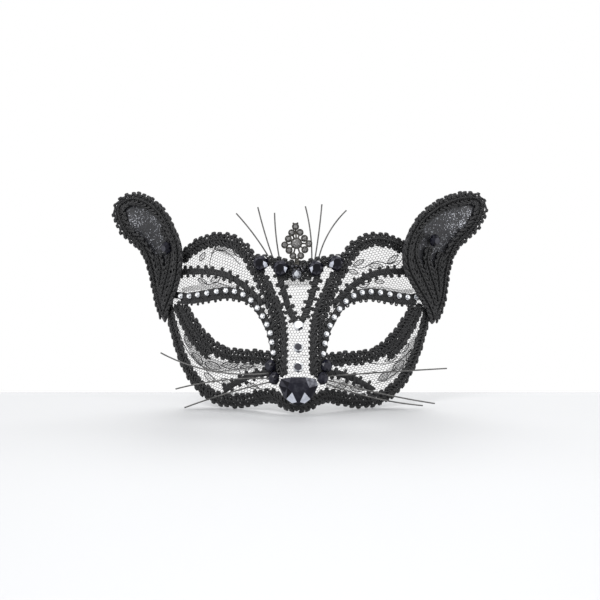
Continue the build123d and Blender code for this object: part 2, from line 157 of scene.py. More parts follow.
HALF_FACE = [(0, 79.5), (10, 82.5), (20, 86), (27, 90.5), (35, 96), (44.5, 97.8), (54, 95.5),
             (62, 90), (69, 80), (74.5, 65), (76, 50), (72.5, 36), (69, 25), (63.5, 15),
             (54, 7), (44, 2), (33, 1.6), (22, 4.5), (13.5, 7), (6, 3.4), (0, 2.2)]
CENTRE_EDGE = [(7, 3.6), (9, 12), (9.5, 24), (10, 43), (12, 55), (17, 67), (22.5, 79), (25, 89)]
EYE_UPPER = [(66, 57.6), (53, 61.4), (42, 63.8), (32, 63.4), (24, 58.8), (18, 50.2), (14.4, 40),
             (13.2, 31)]
EYE_LOWER = [(13.2, 31), (24, 30.6), (40, 31), (52, 38.6), (60, 48.4), (66, 57.6)]


def ease(t):
    t = min(max(t, 0.0), 1.0)
    return t * t * (3 - 2 * t)


def face_depth(x, z):
    """Depth of the face surface at a place on the front view, in mm."""
    x = min(abs(x), 0.97 * FACE_RADIUS)
    curve = FACE_RADIUS - sqrt(FACE_RADIUS**2 - x**2)
    bow = (z - CROWN_HEIGHT) ** 2 / (2 * FACE_BOW_RADIUS)
    fade = ease((NOSE_TOP - z) / (NOSE_TOP - NOSE_TIP_HEIGHT))
    return FACE_FRONT + curve + bow - NOSE_RISE * exp(-((x / NOSE_HALF_WIDTH) ** 2)) * fade


def on_surface(depth, x, z, lift):
    """Point lift in front of a surface, at the same place on the front view, and the normal."""
    step = SLOPE_STEP
    reach, side = abs(x), (1 if x >= 0 else -1)
    along_x = (depth(reach + step, z) - depth(reach - step, z)) / (2 * step)
    along_z = (depth(reach, z + step) - depth(reach, z - step)) / (2 * step)
    normal = Vector((side * along_x, -1, along_z)).normalized()
    forward = lift * sqrt(1 + along_x**2 + along_z**2)
    return Vector((x, depth(reach, z) - forward, z)), normal


def smooth(points, step=0.6, closed=False):
    """Points at even spacing along a smooth curve through the given ones."""
    ends = list(points)
    if closed:
        ends = [points[-1]] + ends + [points[0], points[1]]
    else:
        first = tuple(2 * a - b for a, b in zip(points[0], points[1]))
        last = tuple(2 * a - b for a, b in zip(points[-1], points[-2]))
        ends = [first] + ends + [last]
    line = []
    for a, b, c, d in zip(ends, ends[1:], ends[2:], ends[3:]):
        parts = max(2, ceil(hypot(*(v - u for u, v in zip(b, c))) / step))
        for i in range(parts):
            t = i / parts
            line.append(tuple(
                0.5 * (2 * q + (r - p) * t + (2 * p - 5 * q + 4 * r - s) * t * t
                       + (3 * q - p - 3 * r + s) * t**3)
                for p, q, r, s in zip(a, b, c, d)
            ))
    if not closed:
        line.append(tuple(points[-1]))
    return line


def mirrored(points, side):
    return [(side * x, z) for x, z in points]


def raised(points, amount):
    return [(x, z + amount) for x, z in points]


def inside(outline, x, z):
    hit = False
    for (x0, z0), (x1, z1) in zip(outline, outline[1:] + outline[:1]):
        if (z0 > z) != (z1 > z) and x < x0 + (x1 - x0) * (z - z0) / (z1 - z0):
            hit = not hit
    return hit


WARP_ACROSS = 0.3
WARP_UP = 0.25


def hexagon_edges(cell, turn, low, high, stretch):
    """Edges of a hexagonal net over a rectangle, pulled and turned about its middle."""
    edge = cell / sqrt(3)
    middle = ((low[0] + high[0]) / 2, (low[1] + high[1]) / 2)
    reach = hypot(high[0] - low[0], high[1] - low[1]) / 2
    rows = ceil(reach / (1.5 * edge))
    columns = ceil(reach / cell)
    c, s = cos(turn), sin(turn)

    def place(u, v):
        u, v = u * stretch + WARP_ACROSS * sin(0.55 * v), v + WARP_UP * sin(0.4 * u + 0.3 * v)
        return (middle[0] + u * c - v * s, middle[1] + u * s + v * c)

    for row in range(-rows, rows + 1):
        for column in range(-columns, columns + 1):
            u = (column + 0.5 * (row % 2)) * cell
            v = row * 1.5 * edge
            foot = place(u, v)
            top = place(u, v + edge)
            yield foot, top
            for way in (-1, 1):
                yield top, place(u + way * cell / 2, v + 1.5 * edge)


def new_tree(name, sockets):
    """Geometry Nodes tree with a geometry in, a geometry out and named number inputs."""
    tree = bpy.data.node_groups.new(name, "GeometryNodeTree")
    tree.interface.new_socket("Geometry", in_out="INPUT", socket_type="NodeSocketGeometry")
    for label, kind, value in sockets:
        socket = tree.interface.new_socket(label, in_out="INPUT", socket_type=kind)
        if value is not None:
            socket.default_value = value
    tree.interface.new_socket("Geometry", in_out="OUTPUT", socket_type="NodeSocketGeometry")
    return tree


def node(tree, kind, settings=None, **inputs):
    """Add a node; inputs are named by their sockets with _ for a space, or by number as n0."""
    made = tree.nodes.new(kind)
    for key, value in (settings or {}).items():
        setattr(made, key, value)
    for key, value in inputs.items():
        label = key.replace("_", " ")
        socket = made.inputs[int(key[1:])] if key[1:].isdigit() else made.inputs[label]
        if isinstance(value, bpy.types.NodeSocket):
            tree.links.new(value, socket)
        else:
            socket.default_value = value
    return made


def math_node(tree, operation, first, second=0.0):
    made = node(tree, "ShaderNodeMath", {"operation": operation}, n0=first, n1=second)
    return made.outputs[0]


def scaled(tree, vector, amount):
    made = node(tree, "ShaderNodeVectorMath", {"operation": "SCALE"}, Vector=vector)
    tree.links.new(amount, made.inputs["Scale"])
    return made.outputs[0]


def added(tree, first, second):
    return node(tree, "ShaderNodeVectorMath", {"operation": "ADD"}, n0=first, n1=second).outputs[0]


def bake_modifier(piece, tree, values):
    """Run a tree on an object and keep the result as its plain mesh."""
    modifier = piece.modifiers.new("make", "NODES")
    modifier.node_group = tree
    for item in tree.interface.items_tree:
        if item.item_type == "SOCKET" and item.in_out == "INPUT" and item.name in values:
            modifier[item.identifier] = values[item.name]
    graph = bpy.context.evaluated_depsgraph_get()
    result = bpy.data.meshes.new_from_object(piece.evaluated_get(graph))
    result.name = piece.name
    piece.modifiers.remove(modifier)
    old = piece.data
    piece.data = result
    bpy.data.meshes.remove(old)
    return piece


def thread_tree():
    """Each edge of the incoming net becomes a thin round thread."""
    tree = new_tree("threads", [
        ("Radius", "NodeSocketFloat", 0.0001),
        ("Sides", "NodeSocketInt", 4),
        ("Material", "NodeSocketMaterial", None),
    ])
    source = tree.nodes.new("NodeGroupInput").outputs
    curve = node(tree, "GeometryNodeMeshToCurve", Mesh=source["Geometry"])
    profile = node(
        tree, "GeometryNodeCurvePrimitiveCircle",
        Resolution=source["Sides"], Radius=source["Radius"],
    )
    tube = node(
        tree, "GeometryNodeCurveToMesh", Curve=curve.outputs[0],
        Profile_Curve=profile.outputs[0], Fill_Caps=True,
    )
    real = node(tree, "GeometryNodeRealizeInstances", Geometry=tube.outputs[0])
    coated = node(
        tree, "GeometryNodeSetMaterial", Geometry=real.outputs[0], Material=source["Material"],
    )
    tree.links.new(coated.outputs[0], tree.nodes.new("NodeGroupOutput").inputs[0])
    return tree


def shader_parts(name, colour, roughness, **levels):
    """A new material with its tree, its shader and the place on the piece to read from."""
    material = plain_material(name, colour, roughness)
    tree = material.node_tree
    shader = tree.nodes["Principled BSDF"]
    for label, value in levels.items():
        shader.inputs[label.replace("_", " ")].default_value = value
    return material, tree, shader, node(tree, "ShaderNodeTexCoord").outputs["Object"]


def between(tree, share, *stops):
    """A colour taken from (position, colour) stops at a share from 0 to 1."""
    ramp = node(tree, "ShaderNodeValToRGB", n0=share)
    while len(ramp.color_ramp.elements) < len(stops):
        ramp.color_ramp.elements.new(0.5)
    for element, (position, colour) in zip(ramp.color_ramp.elements, stops):
        element.position = position
        element.color = (*colour, 1)
    return ramp.outputs[0]


def dimmed(colour, amount):
    return tuple(amount * c for c in colour)


def roughen(tree, shader, height, strength, distance):
    bump = node(tree, "ShaderNodeBump", Strength=strength, Distance=distance, Height=height)
    tree.links.new(bump.outputs[0], shader.inputs["Normal"])


def thread_material(name, colour, roughness):
    """Matt black thread with a little colour change from place to place."""
    material, tree, shader, place = shader_parts(name, colour, roughness, Sheen_Weight=0.15)
    cloud = node(tree, "ShaderNodeTexNoise", Vector=place, Scale=900.0, Detail=2.0)
    tone = between(tree, cloud.outputs[0], (0.0, dimmed(colour, 0.55)), (1.0, dimmed(colour, 1.5)))
    tree.links.new(tone, shader.inputs["Base Color"])
    return material


NET_BLACK = thread_material("tulle_thread", (0.02, 0.02, 0.022), 0.7)
THREADS = thread_tree()


def threads(name, lines, lift, radius, sides=4, material=None):
    """Threads that follow lines of (x, z) points, lifted off the face."""
    points, edges = [], []
    for line in lines:
        start = len(points)
        for x, z in line:
            points.append(on_surface(face_depth, x, z, lift)[0] * MM)
        edges += [(start + i, start + i + 1) for i in range(len(line) - 1)]
    piece = mesh_object(name, points, [], None, edges)
    values = {"Radius": radius * MM, "Sides": sides, "Material": material or NET_BLACK}
    return bake_modifier(piece, THREADS, values)


def arc_along(x):
    """Distance round the face from its middle, so the net keeps its cell size."""
    return FACE_RADIUS * asin(x / FACE_RADIUS)


def net_lines(outline, holes, cell, turn, stretch=1.0):
    """Net threads whose both ends lie in a panel."""
    flat = [(arc_along(x), z) for x, z in outline]
    low = (min(p[0] for p in flat), min(p[1] for p in flat))
    high = (max(p[0] for p in flat), max(p[1] for p in flat))
    kept = []
    for ends in hexagon_edges(cell, turn, low, high, stretch):
        line = [(FACE_RADIUS * sin(s / FACE_RADIUS), z) for s, z in ends]
        shown = all(
            inside(outline, x, z) and not any(inside(hole, x, z) for hole in holes)
            for x, z in line
        )
        if shown:
            kept.append(line)
    return kept


FINE_CELL = 1.4
FINE_PULL = 1.6
NOSE_CELL = 1.7
FINE_THREAD = 0.125
NOSE_THREAD = 0.1
NET_TURNS = {"left": radians(31), "right": radians(8)}

for name, side in SIDES.items():
    panel = smooth(mirrored(HALF_FACE, side), 2.0)
    strip = smooth(mirrored(CENTRE_EDGE, side), 2.0) + [(0, 95), (0, 0)]
    eye = smooth(mirrored(EYE_UPPER, side), 2.0) + smooth(mirrored(EYE_LOWER, side), 2.0)
    net = net_lines(panel, [strip, eye], FINE_CELL, NET_TURNS[name], FINE_PULL)
    lace = threads(f"lace_net_{name}", net, LACE_LIFT, FINE_THREAD)
    settle(lace, "lace", f"lace_{name}")

half_strip = smooth(CENTRE_EDGE, 2.0)
strip = half_strip + [(10, 82.5), (0, 79.5), (-10, 82.5)]
strip += [(-x, z) for x, z in reversed(half_strip)]
net = net_lines(strip, [], NOSE_CELL, 0.0)
settle(threads("lace_net_centre", net, LACE_LIFT, NOSE_THREAD), "lace", "lace_centre")

# ---- lace figure ------------------------------------------------------------------------
# The pattern worked into the tulle: stems and leaf outlines in a thicker cord, with the
# leaves and some grounds filled in by closer threads.
CORDONNET = 0.25
FILL_THREAD = 0.09
LACE_FRONT = LACE_LIFT + 0.12
LEAF_STEPS = 14
LEAF_FULLNESS = 0.8
RIB_SPACING = 0.75
RIB_LEAN = 0.35
RIB_REACH = 0.9


def turned_line(line, centre, angle):
    c, s = cos(angle), sin(angle)
    return [(centre[0] + u * c - v * s, centre[1] + u * s + v * c) for u, v in line]


def leaf(centre, angle, length, width):
    """Outline, midrib and slanted filling threads of one leaf."""
    def half_width(t):
        return width / 2 * sin(pi * t) ** LEAF_FULLNESS

    stops = [i / LEAF_STEPS for i in range(LEAF_STEPS + 1)]
    rim = [(length * (t - 0.5), half_width(t)) for t in stops]
    lower = [(u, -v) for u, v in reversed(rim)]
    outline = [rim + lower[1:]]
    ribs = [[(-length / 2, 0), (0, 0.04 * width), (length / 2, 0)]]
    count = int(length / RIB_SPACING)
    for i in range(1, count):
        u = length * (i / count - 0.5)
        reach = half_width(i / count)
        for way in (RIB_REACH, -RIB_REACH):
            ribs.append([(u, 0), (u + RIB_LEAN * reach, way * reach)])
    place = [turned_line(line, centre, angle) for line in outline]
    return place, [turned_line(line, centre, angle) for line in ribs]


# Stems, leaves as (centre, angle in degrees, length, width), and close grounds as outlines.
FIGURES = {
    "left": {
        "stems": [[(-47, 93), (-49, 88), (-50.5, 83), (-50, 79)],
                  [(-50, 88), (-44, 90), (-38, 87), (-33, 82)],
                  [(-57, 74), (-52, 70.5), (-46, 71.5), (-40, 69.8)],
                  [(-70, 44), (-66, 34), (-58, 25), (-48, 21), (-36, 22.6), (-24, 25)],
                  [(-62, 30), (-55, 23), (-46, 15), (-36, 11)],
                  [(-35, 24.5), (-30, 17), (-22, 12.5), (-16, 13)]],
        "leaves": [((-43, 91.6), 12, 10, 4), ((-34, 88), -35, 7, 3), ((-55, 86), 60, 6, 2.6),
                   ((-47, 73.5), 25, 7, 3.4), ((-55, 72), -20, 6, 2.6), ((-33, 72), -38, 6, 2.4),
                   ((-64, 37), -62, 9, 3.6), ((-58, 27.5), -46, 9, 4), ((-49, 24), -14, 10, 4.4),
                   ((-39, 25), 6, 10, 3.8), ((-29, 24.6), 10, 8, 3), ((-51, 17), -40, 8, 3.4),
                   ((-41, 15.5), -18, 7, 3), ((-26, 13.6), -16, 8, 3)],
        "grounds": [[(-66, 38), (-60, 26), (-50, 20), (-38, 21), (-22, 23.6), (-20, 27.5),
                     (-34, 27.5), (-46, 27.6), (-56, 33), (-63, 41)],
                    [(-48, 94.5), (-40, 93.5), (-34, 89), (-38, 86.5), (-46, 89.5)],
                    [(-67, 67.6), (-58, 70), (-46, 71), (-34, 69.6), (-34, 67), (-46, 68),
                     (-60, 66.4), (-67, 65)]],
    },
    "right": {
        "stems": [[(58, 84), (52, 82), (44, 83.5), (36, 80), (30, 81)],
                  [(62, 87), (56, 81), (50, 80)],
                  [(40, 72), (34, 71.6), (29, 69)],
                  [(72, 42), (69, 33), (62, 24), (52, 16.6), (44, 14)],
                  [(66, 33), (59, 27), (50, 25), (40, 26)],
                  [(57, 22), (50, 20), (42, 21)]],
        "leaves": [((44, 81), 172, 9, 3.2), ((34, 83), 205, 7, 2.6), ((54, 84.6), 215, 8, 3),
                   ((31, 78), 160, 6, 2.6), ((37, 70.5), 12, 7, 2.8), ((46, 72), -8, 6, 2.4),
                   ((70, 36), 70, 9, 3.6), ((65, 29), 50, 9, 4), ((57.5, 23.5), 36, 9, 4),
                   ((49, 18), 30, 9, 3.6), ((61, 33), 40, 8, 3.2), ((53, 27.6), 16, 8, 3),
                   ((24, 13.5), 20, 8, 3.4), ((33, 11.5), -14, 8, 3.2)],
        "grounds": [[(72, 41), (68.5, 30), (60, 20.5), (50, 14.5), (46, 17.6), (57, 27), (65, 38)],
                    [(18, 18), (26, 17), (38, 11.5), (34, 9.5), (24, 12), (15, 14)],
                    [(66, 67), (56, 67.6), (48, 69.4), (36, 69), (36, 66.8), (48, 67.4),
                     (56, 65.6), (66, 64.6)]],
    },
}
GROUND_CELL = 0.75
THREAD_DARK = thread_material("figure_thread", (0.012, 0.012, 0.014), 0.65)

for name, figure in FIGURES.items():
    outlines = [smooth(stem, 0.8) for stem in figure["stems"]]
    fills = []
    for centre, degrees, length, width in figure["leaves"]:
        edge_lines, ribs = leaf(centre, radians(degrees), length, width)
        outlines += edge_lines
        fills += ribs
    for ground in figure["grounds"]:
        fills += net_lines(smooth(ground, 1.5, closed=True), [], GROUND_CELL, NET_TURNS[name])
    for kind, lines, radius in (("outline", outlines, CORDONNET), ("filling", fills, FILL_THREAD)):
        piece = threads(f"lace_{kind}_{name}", lines, LACE_FRONT, radius, 5, THREAD_DARK)
        settle(piece, "lace")

centre_lines = [smooth(line, 0.8) for line in (
    [(-7, 33), (-2, 31.6), (3, 32.4), (7, 31.8)],
    [(-6.5, 29), (-2, 30.4), (2, 28.8), (6.5, 29.8)],
    [(-6, 22.6), (0, 23.8), (6.5, 22.4)],
)]
centre_lines += net_lines([(-8, 70), (8, 70), (6, 77), (-6, 77)], [], GROUND_CELL, 0.4)
piece = threads(
    "lace_figure_centre", centre_lines, LACE_FRONT, FILL_THREAD, 5, THREAD_DARK
)
settle(piece, "lace")

# ---- scroll gimp on the face ------------------------------------------------------------
# Upholsterer's scroll gimp: a flat plait of three rayon cords, a looped cord along each edge
# and a fine two-ply cord down the middle. It is stitched over every raw edge of the lace.
BROW_ROUTE = [(67.5, 83.8), (62, 89), (55, 93.2), (45, 95.6), (36.5, 94), (30.5, 89.5),
              (25.4, 82), (20.6, 73), (15.9, 63.5), (12.6, 54), (11.3, 43), (11.2, 32), (11, 20)]
NOSE_EDGE_ROUTE = [(18.4, 75.4), (16.2, 69.6), (12.5, 61.9), (9, 53.5), (7.6, 45), (7.4, 34.7),
                   (7.4, 22)]
CHEEK_ROUTE = [(76, 58), (73.8, 47), (70.5, 36), (67, 26.5), (62, 17.5), (55, 9.8),
               (47.5, 5.4), (39, 3.9), (30, 4.6), (22, 6.8), (14.5, 8.6), (7.5, 5.8), (0, 3.9)]
LOWER_LID_ROUTE = [(67, 56), (62.5, 49), (58, 42.8), (52.5, 37), (46, 32), (39.5, 29.6),
                   (31.5, 29), (22.5, 29), (15, 28.4)]
LID_ROW_ROUTE = [(71, 57.4), (66.8, 48.6), (62.3, 41.2), (57.2, 34.8), (50.6, 29.2)]
BROW_RISE = 0.6
CHEEK_RISE = 0.7
LID_RISE = {"left": 1.6, "right": 0.5}
BAND_ROUTE = [(-24, 84.6), (-16, 84), (-8, 82.4), (0, 81), (8, 82.4), (16, 84), (24, 84.6)]
LOWER_BAND_ROUTE = [(-9, 78), (-4.5, 76.8), (0, 76.4), (4.5, 76.8), (9, 78)]


# How slowly the slack in a cord comes and goes, and its share of the swing and of the pitch.
SLACK_TURN = 0.37
SLACK = 0.07
DRIFT = 0.09


def cord_tree(name):
    """One cord that swings from side to side of its route, looping back at each edge.

    The route carries the surface's normal as face_normal. The swing is Offset plus Half
    Width times the sine of the turn, the loops come from Lobe times the sine of twice the
    turn, and Weave lifts the cord over one crossing and under the next. Both the swing and
    the run of the cord change a little along the route, as handwork does.
    """
    lengths = {
        "Pitch": 0.0062, "Phase": 0.0, "Half Width": 0.003, "Offset": 0.0, "Lobe": 0.0009,
        "Weave": 0.0006, "Raise": 0.0, "Cord": 0.0006,
    }
    sockets = [(label, "NodeSocketFloat", value) for label, value in lengths.items()]
    counts = [("Sides", "NodeSocketInt", 7), ("Steps", "NodeSocketInt", 24)]
    tree = new_tree(name, sockets + counts)

    def times(first, second):
        return math_node(tree, "MULTIPLY", first, second)

    def plus(first, second):
        return math_node(tree, "ADD", first, second)

    source = tree.nodes.new("NodeGroupInput").outputs
    curve = node(tree, "GeometryNodeMeshToCurve", Mesh=source["Geometry"])
    step = math_node(tree, "DIVIDE", source["Pitch"], source["Steps"])
    even = node(
        tree, "GeometryNodeResampleCurve", {"mode": "LENGTH"}, Curve=curve.outputs[0], Length=step
    )
    travelled = node(tree, "GeometryNodeSplineParameter").outputs["Length"]
    pitches = math_node(tree, "DIVIDE", travelled, source["Pitch"])
    turn = plus(times(pitches, 2 * pi), source["Phase"])
    swing = plus(times(math_node(tree, "SINE", turn), source["Half Width"]), source["Offset"])
    back = times(math_node(tree, "SINE", times(turn, 2.0)), source["Lobe"])
    over = plus(times(math_node(tree, "COSINE", turn), source["Weave"]), source["Raise"])
    slow = math_node(tree, "SINE", times(turn, SLACK_TURN))
    swing = times(swing, plus(times(slow, SLACK), 1.0))
    back = plus(back, times(times(slow, DRIFT), source["Pitch"]))
    normal = node(
        tree, "GeometryNodeInputNamedAttribute", {"data_type": "FLOAT_VECTOR"}, Name="face_normal"
    ).outputs[0]
    forward = tree.nodes.new("GeometryNodeInputTangent").outputs[0]
    across = node(
        tree, "ShaderNodeVectorMath", {"operation": "CROSS_PRODUCT"}, n0=forward, n1=normal
    ).outputs[0]
    shift = added(tree, scaled(tree, across, swing), scaled(tree, forward, back))
    shift = added(tree, shift, scaled(tree, normal, over))
    moved = node(tree, "GeometryNodeSetPosition", Geometry=even.outputs[0], Offset=shift)
    run = node(tree, "GeometryNodeSplineParameter").outputs["Length"]
    marked = node(
        tree, "GeometryNodeStoreNamedAttribute", {"data_type": "FLOAT", "domain": "POINT"},
        Geometry=moved.outputs[0], Name="along", Value=run,
    )
    profile = node(
        tree, "GeometryNodeCurvePrimitiveCircle", Resolution=source["Sides"], Radius=source["Cord"]
    )
    place = tree.nodes.new("GeometryNodeInputPosition").outputs[0]
    ringed = node(
        tree, "GeometryNodeStoreNamedAttribute", {"data_type": "FLOAT_VECTOR", "domain": "POINT"},
        Geometry=profile.outputs[0], Name="around", Value=place,
    )
    tube = node(
        tree, "GeometryNodeCurveToMesh", Curve=marked.outputs[0],
        Profile_Curve=ringed.outputs[0], Fill_Caps=True,
    )
    tree.links.new(tube.outputs[0], tree.nodes.new("NodeGroupOutput").inputs[0])
    return tree


CORD = cord_tree("swinging_cord")


def plait_tree(name, cords):
    """Several swinging cords laid on the same route. Each is a dictionary of its inputs."""
    tree = new_tree(name, [("Material", "NodeSocketMaterial", None)])
    source = tree.nodes.new("NodeGroupInput").outputs
    joined = tree.nodes.new("GeometryNodeJoinGeometry")
    for inputs in cords:
        cord = tree.nodes.new("GeometryNodeGroup")
        cord.node_tree = CORD
        tree.links.new(source["Geometry"], cord.inputs["Geometry"])
        for label, value in inputs.items():
            cord.inputs[label].default_value = value
        tree.links.new(cord.outputs[0], joined.inputs[0])
    real = node(tree, "GeometryNodeRealizeInstances", Geometry=joined.outputs[0])
    soft = node(tree, "GeometryNodeSetShadeSmooth", Geometry=real.outputs[0])
    coated = node(
        tree, "GeometryNodeSetMaterial", Geometry=soft.outputs[0], Material=source["Material"]
    )
    tree.links.new(coated.outputs[0], tree.nodes.new("NodeGroupOutput").inputs[0])
    return tree


def flat_braid(half_width, pitch, cord, strands, steps=16):
    """Cords plaited into a flat band."""
    return [
        {"Pitch": pitch * MM, "Half Width": half_width * MM, "Lobe": 0.05 * pitch * MM,
         "Weave": 0.85 * cord * MM, "Cord": cord * MM, "Phase": 2 * pi * i / strands,
         "Steps": steps, "Sides": 6}
        for i in range(strands)
    ]


def scallops(near, far, pitch, lobe, cord, raise_by=0.0):
    """One looped cord along each edge of a band, from near its middle out to its loops."""
    return [
        {"Pitch": pitch * MM, "Offset": side * (far + near) / 2 * MM,
         "Half Width": side * (far - near) / 2 * MM, "Lobe": lobe * MM, "Weave": 0.3 * MM,
         "Raise": raise_by * MM, "Cord": cord * MM, "Phase": pi * (side > 0), "Steps": 26}
        for side in (-1, 1)
    ]


def centre_cords(raise_by):
    """The fine two-ply cord down the middle of a gimp."""
    return [
        {"Pitch": 2.6 * MM, "Half Width": 0.34 * MM, "Lobe": 0.0, "Weave": 0.3 * MM,
         "Raise": raise_by * MM, "Cord": 0.36 * MM, "Phase": pi * i, "Steps": 12, "Sides": 6}
        for i in range(2)
    ]


def winding_group():
    """Height of rayon yarn wound round a cord: slanted ridges from along and around."""
    group = bpy.data.node_groups.new("rayon_winding", "ShaderNodeTree")
    for label in ("Ridges", "Slant"):
        socket = group.interface.new_socket(label, in_out="INPUT", socket_type="NodeSocketFloat")
        socket.default_value = 1.0
    group.interface.new_socket("Height", in_out="OUTPUT", socket_type="NodeSocketFloat")
    source = group.nodes.new("NodeGroupInput").outputs
    along = node(group, "ShaderNodeAttribute", {"attribute_name": "along"}).outputs["Fac"]
    around = node(group, "ShaderNodeAttribute", {"attribute_name": "around"}).outputs["Vector"]
    parts = node(group, "ShaderNodeSeparateXYZ", Vector=around).outputs
    angle = math_node(group, "ARCTAN2", parts["Y"], parts["X"])
    turns = math_node(group, "MULTIPLY", along, source["Ridges"])
    slanted = math_node(group, "MULTIPLY", angle, source["Slant"])
    wave = math_node(group, "SINE", math_node(group, "ADD", turns, slanted))
    group.links.new(wave, group.nodes.new("NodeGroupOutput").inputs[0])
    return group


WINDING = winding_group()


def rayon_material(name, colour, ridges, slant):
    """Dyed rayon cord: fine wound ridges with painted shade in their grooves, soft gloss and uneven
    dye.
    """
    material, tree, shader, place = shader_parts(
        name, colour, 0.38, Sheen_Weight=0.03, Sheen_Roughness=0.4, Specular_IOR_Level=0.42
    )
    cloud = node(tree, "ShaderNodeTexNoise", Vector=place, Scale=350.0, Detail=3.0)
    winding = tree.nodes.new("ShaderNodeGroup")
    winding.node_tree = WINDING
    winding.inputs["Ridges"].default_value = ridges
    winding.inputs["Slant"].default_value = slant
    # Painted shade: the colour is darker down in the winding's grooves and lighter on its ridges,
    # with uneven dye from the noise on top.
    shade = math_node(tree, "MULTIPLY_ADD", winding.outputs[0], 0.22)
    tree.links.new(cloud.outputs[0], shade.node.inputs[2])
    tone = between(tree, shade, (0.2, dimmed(colour, 0.45)), (0.85, dimmed(colour, 1.6)))
    tree.links.new(tone, shader.inputs["Base Color"])
    roughen(tree, shader, winding.outputs[0], 0.5, 0.00012)
    return material


RAYON_BLACK = rayon_material(
    "rayon_black", colour=(0.0065, 0.0066, 0.0075), ridges=9000.0, slant=2.0
)


def trimming(name, routes, tree, lift, replaced, depth=face_depth):
    """Lay a plait along routes on a surface and let it stand for its CAD nodes."""
    points, normals, edges = [], [], []
    for route in routes:
        start = len(points)
        for x, z in smooth(route, 0.5):
            point, normal = on_surface(depth, x, z, lift)
            points.append(point * MM)
            normals.append(normal)
        edges += [(i, i + 1) for i in range(start, len(points) - 1)]
    piece = mesh_object(name, points, [], None, edges)
    stored = piece.data.attributes.new("face_normal", "FLOAT_VECTOR", "POINT")
    stored.data.foreach_set("vector", [v for normal in normals for v in normal])
    bake_modifier(piece, tree, {"Material": RAYON_BLACK})
    settle(piece, "gimp", *replaced)


SCROLL = plait_tree(
    "scroll_gimp",
    flat_braid(2.4, 6.6, 0.68, 3, 20) + scallops(1.6, 3.8, 4.2, 1.6, 0.66) + centre_cords(1.2),
)
NARROW_SCROLL = plait_tree(
    "narrow_scroll_gimp",
    flat_braid(1.9, 5.4, 0.6, 3) + scallops(1.1, 3.1, 3.9, 1.45, 0.6) + centre_cords(1.1),
)
RING_ROW = plait_tree(
    "ring_row_gimp", flat_braid(0.8, 3.4, 0.45, 3) + scallops(-0.2, 1.9, 3.1, 0.95, 0.42, 0.2)
)
GIMP_LIFT = GIMP_BACK + 1.2
for name, side in SIDES.items():
    for kind, route, tree in (
        ("brow_gimp", raised(BROW_ROUTE, BROW_RISE), SCROLL),
        ("cheek_gimp", raised(CHEEK_ROUTE, CHEEK_RISE), SCROLL),
        ("lower_lid_gimp", raised(LOWER_LID_ROUTE, LID_RISE[name]), SCROLL),
        ("lid_row_gimp", raised(LID_ROW_ROUTE, LID_RISE[name] / 2), NARROW_SCROLL),
    ):
        label = f"{kind}_{name}"
        trimming(f"{label}_plait", [mirrored(route, side)], tree, GIMP_LIFT, [label])
    trimming(f"nose_edge_rings_{name}", [mirrored(NOSE_EDGE_ROUTE, side)], RING_ROW, GIMP_LIFT, [])
trimming(
    "forehead_band_plait", [BAND_ROUTE, LOWER_BAND_ROUTE], NARROW_SCROLL, GIMP_LIFT - 0.4,
    ["forehead_band"],
)

# ---- picot braids and crystal banding ---------------------------------------------------
# Narrow flat braid of four fine cords with little picot loops standing out at both edges,
# and a plain flat tape of five cords that carries the small crystals.
UPPER_LID_ROUTE = [(68, 58.9), (60, 59.7), (52, 61.2), (44.5, 62.8), (38.5, 63.3), (32.5, 62.3),
                   (26, 60), (20.6, 54.3), (17, 48.2), (14.9, 42), (13.8, 35)]
MID_BROW_ROUTE = [(68.5, 76.6), (64, 77.3), (56.4, 77.7), (49, 77.6), (41.9, 76.3),
                  (35.7, 73.6), (29.5, 69.4), (24.3, 64.5), (19.9, 60.3)]
FOREHEAD_ROUTE = [(11, 78), (9.2, 71), (7.2, 64), (5, 57), (1.4, 50.4)]
WHISKER_BRAID_ROUTE = [(13.8, 22.2), (24.3, 20.5), (34.9, 15.5), (42.1, 10.6)]
CRYSTAL_ROUTE = [(73, 62.6), (64.9, 61.9), (55.5, 63.6), (44.5, 65.8), (38, 66.1), (32, 64.7),
                 (26, 60.6), (21.2, 54.3), (18, 48.6), (15.6, 43.3), (13.6, 32.4)]
BRAID_LIFT = GIMP_BACK + 0.75
CROWN_RISE = {"left": 1.1, "right": 0.5}


def picots(reach, pitch, lobe, cord):
    """A single cord that dips into the braid and stands out in a round loop at each edge."""
    return [{"Pitch": pitch * MM, "Half Width": reach * MM, "Lobe": lobe * MM,
             "Weave": 0.25 * MM, "Cord": cord * MM, "Steps": 40}]


PICOT_BRAID = plait_tree(
    "picot_braid", flat_braid(1.5, 4.0, 0.5, 4) + picots(3.05, 5.4, 1.15, 0.64)
)
LID_BRAID = plait_tree(
    "lid_braid", flat_braid(1.35, 3.6, 0.45, 4) + picots(2.55, 4.2, 1.05, 0.46)
)
TAPE = plait_tree("crystal_tape", flat_braid(1.7, 3.0, 0.46, 5))
for name, side in SIDES.items():
    for kind, route, tree in (
        ("upper_lid_braid", raised(UPPER_LID_ROUTE, CROWN_RISE[name]), LID_BRAID),
        ("mid_brow_braid", MID_BROW_ROUTE, PICOT_BRAID),
        ("forehead_braid", FOREHEAD_ROUTE, PICOT_BRAID),
        ("whisker_braid", WHISKER_BRAID_ROUTE, PICOT_BRAID),
        ("crystal_banding", raised(CRYSTAL_ROUTE, CROWN_RISE[name]), TAPE),
    ):
        label = f"{kind}_{name}"
        trimming(f"{label}_plait", [mirrored(route, side)], tree, BRAID_LIFT, [label])

